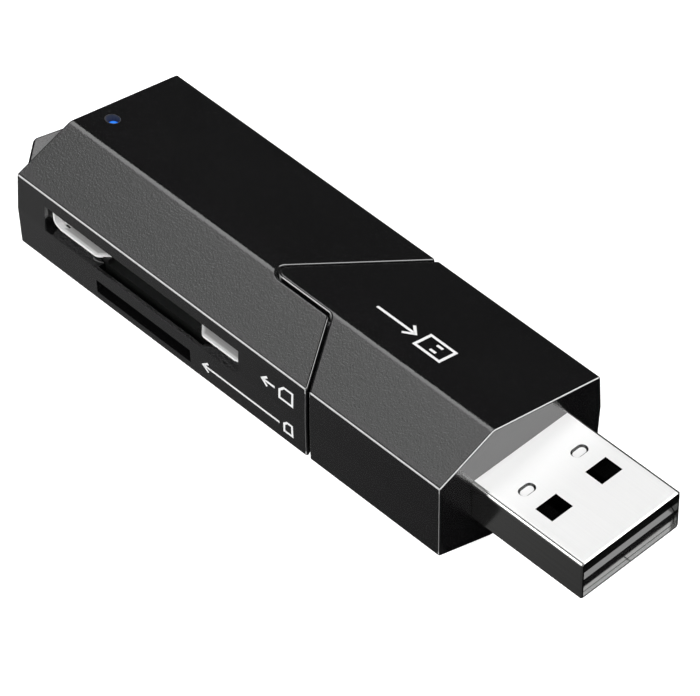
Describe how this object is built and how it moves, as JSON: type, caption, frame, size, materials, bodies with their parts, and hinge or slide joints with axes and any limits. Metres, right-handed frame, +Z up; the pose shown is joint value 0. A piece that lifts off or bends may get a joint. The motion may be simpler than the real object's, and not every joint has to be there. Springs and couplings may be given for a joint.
{
  "type": "usb memory card reader",
  "caption": "Angular black stick with a USB-A plug at one end, a full-size SD slot and a micro SD slot in its side, and a flat lanyard tail.",
  "frame": {"origin": "centre of the footprint box, on the plane the broad lower facet lies on", "axes": "+X from the tail towards the plug, +Z up with the reader lying on its broad lower facet, -Y the side with the card slots"},
  "size_m": [0.0718, 0.0206, 0.0128],
  "materials": {
    "housing_plastic": "black, fine-grained satin moulding",
    "plug_steel": "bright nickel-plated folded steel",
    "insulator_plastic": "black satin moulding",
    "contact_gold": "gold-plated spring metal",
    "socket_steel": "plain folded steel",
    "socket_plastic": "black moulded contact carrier",
    "board_mask": "black solder mask",
    "chip_plastic": "dark moulding compound",
    "tinned_metal": "tinned leads and can",
    "capacitor_body": "tan ceramic with tinned ends",
    "resistor_body": "black film with tinned ends",
    "lamp_resin": "clear resin",
    "pipe_resin": "blue clear rod"
  },
  "bodies": {
    "root": {"capacitor_1": "capacitor_body", "capacitor_2": "capacitor_body", "capacitor_3": "capacitor_body", "capacitor_4": "capacitor_body", "card_detect_spring": "contact_gold", "circuit_board": "board_mask", "controller_leads": "tinned_metal", "controller_package": "chip_plastic", "crystal": "tinned_metal", "front_housing": "housing_plastic", "indicator_led": "lamp_resin", "light_pipe": "pipe_resin", "microsd_contact_1": "contact_gold", "microsd_contact_2": "contact_gold", "microsd_contact_3": "contact_gold", "microsd_contact_4": "contact_gold", "microsd_contact_5": "contact_gold", "microsd_contact_6": "contact_gold", "microsd_contact_7": "contact_gold", "microsd_contact_8": "contact_gold", "microsd_socket_frame": "socket_plastic", "microsd_socket_shell": "socket_steel", "rear_housing": "housing_plastic", "resistor_1": "resistor_body", "resistor_2": "resistor_body", "resistor_3": "resistor_body", "resistor_4": "resistor_body", "sd_contact_1": "contact_gold", "sd_contact_2": "contact_gold", "sd_contact_3": "contact_gold", "sd_contact_4": "contact_gold", "sd_contact_5": "contact_gold", "sd_contact_6": "contact_gold", "sd_contact_7": "contact_gold", "sd_contact_8": "contact_gold", "sd_contact_9": "contact_gold", "sd_socket_frame": "socket_plastic", "sd_socket_shell": "socket_steel", "usb_contact_data_minus": "contact_gold", "usb_contact_data_plus": "contact_gold", "usb_contact_ground": "contact_gold", "usb_contact_power": "contact_gold", "usb_insulator": "insulator_plastic", "usb_shell": "plug_steel", "write_protect_spring": "contact_gold"}
  },
  "joints": []
}
